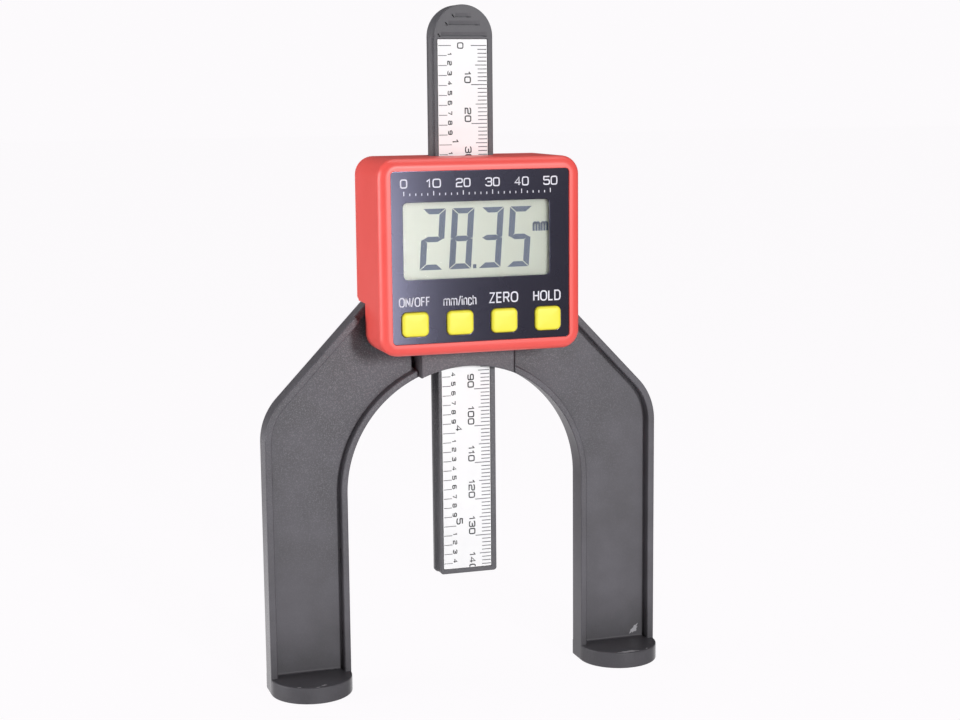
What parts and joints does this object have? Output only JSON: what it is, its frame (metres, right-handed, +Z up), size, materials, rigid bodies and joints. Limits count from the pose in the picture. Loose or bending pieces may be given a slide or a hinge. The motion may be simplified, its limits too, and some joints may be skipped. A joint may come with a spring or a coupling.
{
  "type": "digital depth and height gauge",
  "caption": "Digital depth and height gauge: an arched bridge on magnetic feet carries a display housing, through which a graduated beam slides.",
  "frame": {"origin": "centre of the gauge left to right and front to back, on the plane on which the feet stand", "axes": "+Z up along the sliding beam, +X to the right when the display is read, -Y the side that the display faces"},
  "size_m": [0.1088, 0.031, 0.1788],
  "materials": {
    "black_nylon": "moulded, finely grained",
    "red_abs": "moulded, satin",
    "yellow_rubber": "smooth silicone",
    "dark_film": "printed overlay, satin",
    "white_film": "printed label",
    "clear_acrylic": "clear, polished",
    "display_glass": "grey-green display",
    "white_holder": "moulded",
    "grey_elastomer": "matt",
    "green_board": "solder mask",
    "black_resin": "poured",
    "black_switch": "moulded",
    "black_cover": "moulded",
    "white_nylon": "moulded",
    "steel": "turned",
    "brass": "turned",
    "nickel": "nickel plated",
    "magnet_nickel": "nickel plated, satin"
  },
  "bodies": {
    "bridge_and_housing": {"bridge_frame": "black_nylon", "foot_magnet_left": "magnet_nickel", "foot_magnet_right": "magnet_nickel", "housing_shell": "red_abs", "back_cover": "red_abs", "button_cell": "nickel", "battery_contact_minus": "nickel", "battery_contact_plus": "nickel", "faceplate": "dark_film", "display_lens": "clear_acrylic", "lcd_cell": "display_glass", "lcd_holder": "white_holder", "zebra_strip_upper": "grey_elastomer", "zebra_strip_lower": "grey_elastomer", "display_board": "green_board", "controller_chip": "black_resin", "board_header": "black_switch", "sensor_board": "green_board", "gib_strip": "brass", "friction_spring": "steel", "lock_insert": "brass", "switch_base_power": "black_switch", "switch_base_unit": "black_switch", "switch_base_zero": "black_switch", "switch_base_hold": "black_switch", "cover_screw_left": "steel", "cover_screw_right": "steel", "bridge_screw_left": "steel", "bridge_screw_right": "steel", "display_board_screw_lower_left": "steel", "sensor_board_screw_lower_left": "steel", "display_board_screw_lower_right": "steel", "sensor_board_screw_lower_right": "steel", "display_board_screw_upper_left": "steel", "sensor_board_screw_upper_left": "steel", "display_board_screw_upper_right": "steel", "sensor_board_screw_upper_right": "steel"},
    "beam": {"beam": "black_nylon", "scale_strip": "green_board", "scale_label": "white_film"},
    "lock_pad": {"lock_pad": "white_nylon"},
    "lock_screw": {"lock_screw": "black_cover"},
    "battery_door": {"battery_door": "black_cover"},
    "button_power": {"button_power": "yellow_rubber", "switch_plunger_power": "white_nylon"},
    "button_unit": {"button_unit": "yellow_rubber", "switch_plunger_unit": "white_nylon"},
    "button_zero": {"button_zero": "yellow_rubber", "switch_plunger_zero": "white_nylon"},
    "button_hold": {"button_hold": "yellow_rubber", "switch_plunger_hold": "white_nylon"}
  },
  "joints": [
    {"name": "beam_slide", "type": "slide", "parent": "bridge_and_housing", "child": "beam", "axis": [0, 0, 1], "range_m": [-0.02835, 0.05165]},
    {"name": "button_power_press", "type": "slide", "parent": "bridge_and_housing", "child": "button_power", "axis": [0, 1, 0], "range_m": [0, 0.0005], "stiffness_N_per_m": 800, "springref_m": -0.0002},
    {"name": "button_unit_press", "type": "slide", "parent": "bridge_and_housing", "child": "button_unit", "axis": [0, 1, 0], "range_m": [0, 0.0005], "stiffness_N_per_m": 800, "springref_m": -0.0002},
    {"name": "button_zero_press", "type": "slide", "parent": "bridge_and_housing", "child": "button_zero", "axis": [0, 1, 0], "range_m": [0, 0.0005], "stiffness_N_per_m": 800, "springref_m": -0.0002},
    {"name": "button_hold_press", "type": "slide", "parent": "bridge_and_housing", "child": "button_hold", "axis": [0, 1, 0], "range_m": [0, 0.0005], "stiffness_N_per_m": 800, "springref_m": -0.0002},
    {"name": "lock_pad_slide", "type": "slide", "parent": "bridge_and_housing", "child": "lock_pad", "axis": [0, -1, 0], "range_m": [0, 0.00019444]},
    {"name": "lock_screw_turn", "type": "hinge", "parent": "lock_pad", "child": "lock_screw", "pos_m": [0, 0.012, 0.124], "axis": [0, 1, 0], "range_deg": [0, 140]},
    {"name": "battery_door_slide", "type": "slide", "parent": "bridge_and_housing", "child": "battery_door", "axis": [1, 0, 0], "range_m": [0, 0.015]}
  ],
  "couplings": [
    {"joint": "lock_screw_turn", "follows": "lock_pad_slide", "rad_per_m": 12566}
  ]
}
